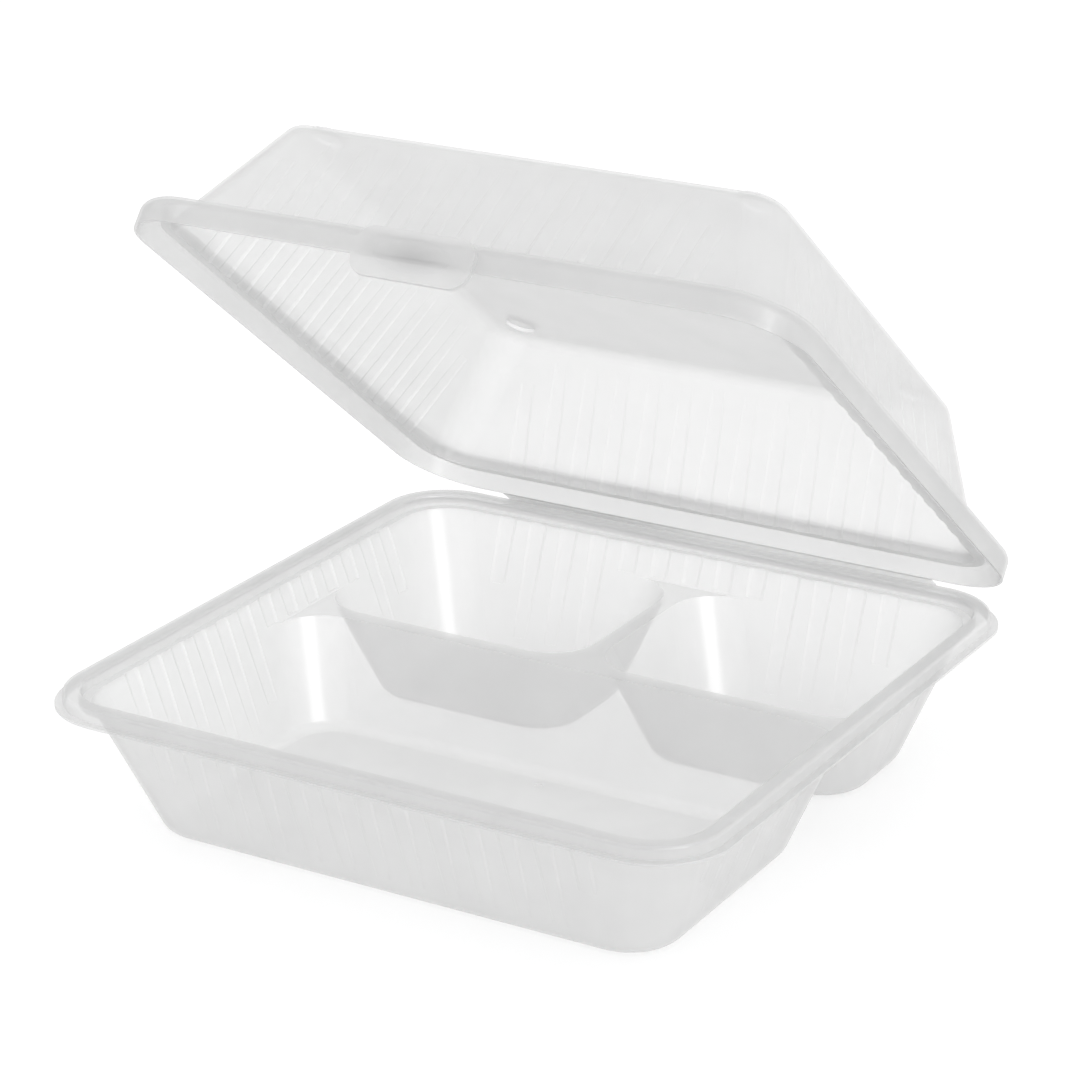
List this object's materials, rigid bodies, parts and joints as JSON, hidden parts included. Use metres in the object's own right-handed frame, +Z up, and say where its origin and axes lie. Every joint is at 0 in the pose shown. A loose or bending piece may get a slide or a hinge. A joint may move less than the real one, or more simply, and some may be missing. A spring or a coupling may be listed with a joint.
{
  "type": "takeout container",
  "caption": "Clear square hinged takeout container with a fluted compartment tray and a fluted domed lid standing open on a thin living hinge.",
  "frame": {"origin": "centre of the tray in plan, on the surface the tray stands on", "axes": "+X to the right seen from the latch, +Y towards the hinge, +Z up"},
  "size_m": [0.2286, 0.2355, 0.2075],
  "materials": {
    "clear_plastic": "glossy, slightly milky clear polypropylene",
    "hinge_web": "glossy clear polypropylene, creased thin"
  },
  "bodies": {
    "base": {"tray": "clear_plastic", "living_hinge": "hinge_web"},
    "lid": {"lid": "clear_plastic"}
  },
  "joints": [
    {"name": "lid_hinge", "type": "hinge", "parent": "base", "child": "lid", "pos_m": [0, 0.1193, 0.0446], "axis": [-1, 0, 0], "range_deg": [-38, 132], "deforming": ["living_hinge"]}
  ]
}
